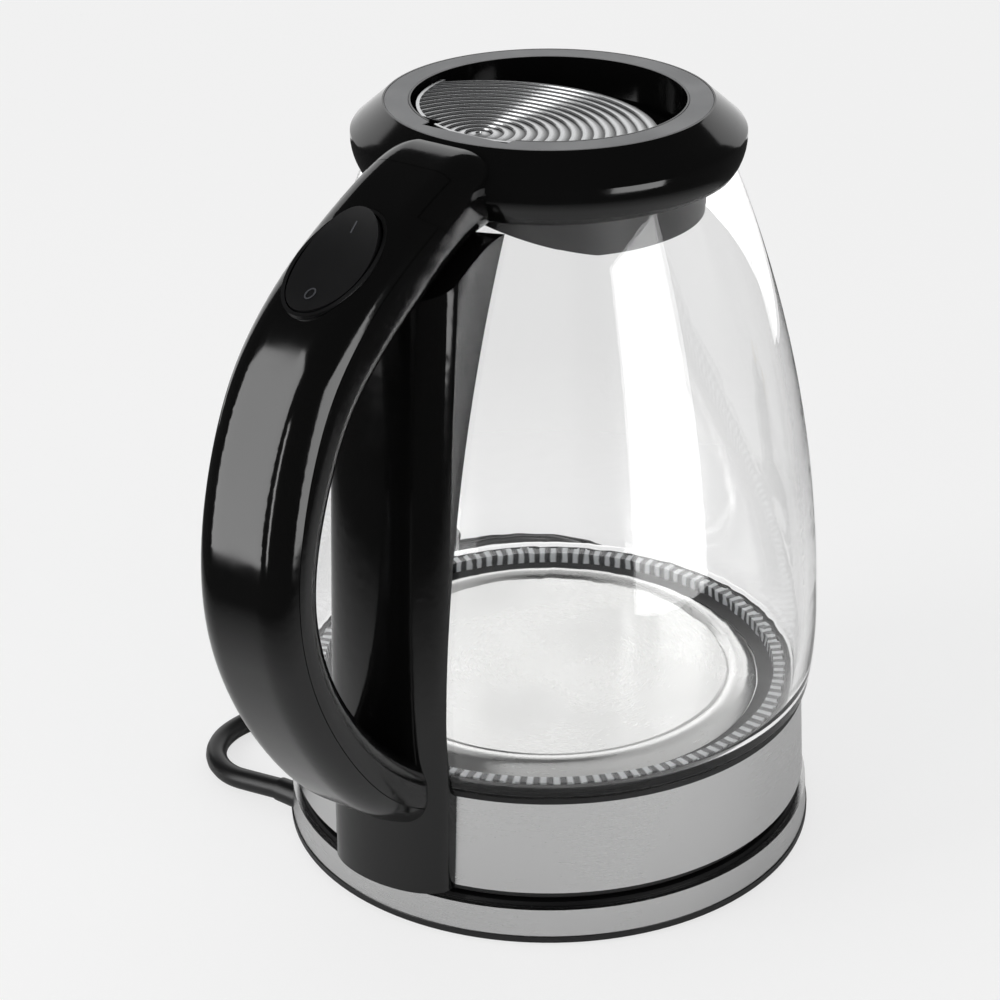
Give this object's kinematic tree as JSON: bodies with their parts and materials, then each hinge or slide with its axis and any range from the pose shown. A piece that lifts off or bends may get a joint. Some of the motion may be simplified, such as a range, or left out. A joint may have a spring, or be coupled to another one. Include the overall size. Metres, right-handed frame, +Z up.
{
  "type": "electric kettle",
  "caption": "Cordless electric kettle: glass jug with steel band and black handle, hinged lid with a ridged metal plate, spout, oval rocker switch, and a round power base with cord.",
  "frame": {"origin": "centre of the round base on the table plane, on the jug's axis", "axes": "+Z up along the jug's axis, +X towards the spout (the handle is on the -X side), +Y to the side where the cord leaves the base"},
  "size_m": [0.2665, 0.2329, 0.219],
  "materials": {
    "black_plastic": "polished injection moulding",
    "matte_black": "fine spark texture",
    "switch_grey": "satin moulding",
    "clear_glass": "clear blown glass",
    "light_ring": "clear moulded ring",
    "brushed_steel": "circular brushing",
    "steel_fitting": "plain",
    "ridged_aluminium": "pressed with concentric ridges",
    "filter_mesh": "perforated",
    "contact_brass": "plain",
    "silicone_seal": "silicone",
    "rubber_foot": "plain",
    "cord_vinyl": "soft PVC"
  },
  "bodies": {
    "power_base": {"base_pan": "matte_black", "base_skirt": "brushed_steel", "base_deck": "black_plastic", "base_foot_1": "rubber_foot", "base_foot_2": "rubber_foot", "base_foot_3": "rubber_foot", "base_screw_1": "steel_fitting", "base_screw_2": "steel_fitting", "base_screw_3": "steel_fitting", "connector_socket": "matte_black", "contact_core": "contact_brass", "contact_ring_inner": "contact_brass", "contact_ring_outer": "contact_brass", "strain_relief": "cord_vinyl", "cord_run": "cord_vinyl", "cord_coil": "cord_vinyl", "plug_body": "cord_vinyl", "plug_relief": "cord_vinyl", "plug_pin_left": "contact_brass", "plug_pin_right": "contact_brass"},
    "jug": {"jug_bottom_cover": "matte_black", "heater_carrier": "matte_black", "jug_screw_1": "steel_fitting", "jug_screw_2": "steel_fitting", "jug_screw_3": "steel_fitting", "steel_band": "brushed_steel", "connector_plug": "matte_black", "connector_pin": "contact_brass", "connector_ring": "contact_brass", "thermostat_block": "matte_black", "heating_plate": "brushed_steel", "heater_element": "steel_fitting", "heater_terminal_left": "steel_fitting", "heater_terminal_right": "steel_fitting", "glass_seal": "silicone_seal", "light_ring": "light_ring", "collar_seal": "silicone_seal", "glass_jug": "clear_glass", "neck_sleeve": "matte_black", "handle_column": "black_plastic", "grip_cover": "black_plastic", "grip_shell": "black_plastic", "switch_bezel": "black_plastic", "switch_unit": "matte_black", "collar": "black_plastic", "lid_hinge_pin": "steel_fitting", "spout": "black_plastic", "filter_frame": "black_plastic", "filter_leaf": "filter_mesh", "lid_spring": "steel_fitting"},
    "lid": {"lid_body": "black_plastic", "lid_plate": "ridged_aluminium", "lid_under": "matte_black", "lid_seal": "silicone_seal"},
    "switch": {"switch_button": "switch_grey"}
  },
  "joints": [
    {"name": "jug_lift", "type": "slide", "parent": "power_base", "child": "jug", "axis": [0, 0, 1], "range_m": [0, 0.08]},
    {"name": "lid_hinge", "type": "hinge", "parent": "jug", "child": "lid", "pos_m": [-0.0346, 0, 0.2149], "axis": [0, -1, 0], "range_deg": [0, 85]},
    {"name": "switch_rocker", "type": "hinge", "parent": "jug", "child": "switch", "pos_m": [-0.09035, 0, 0.19847], "axis": [0, 1, 0], "range_deg": [0, 8]}
  ]
}
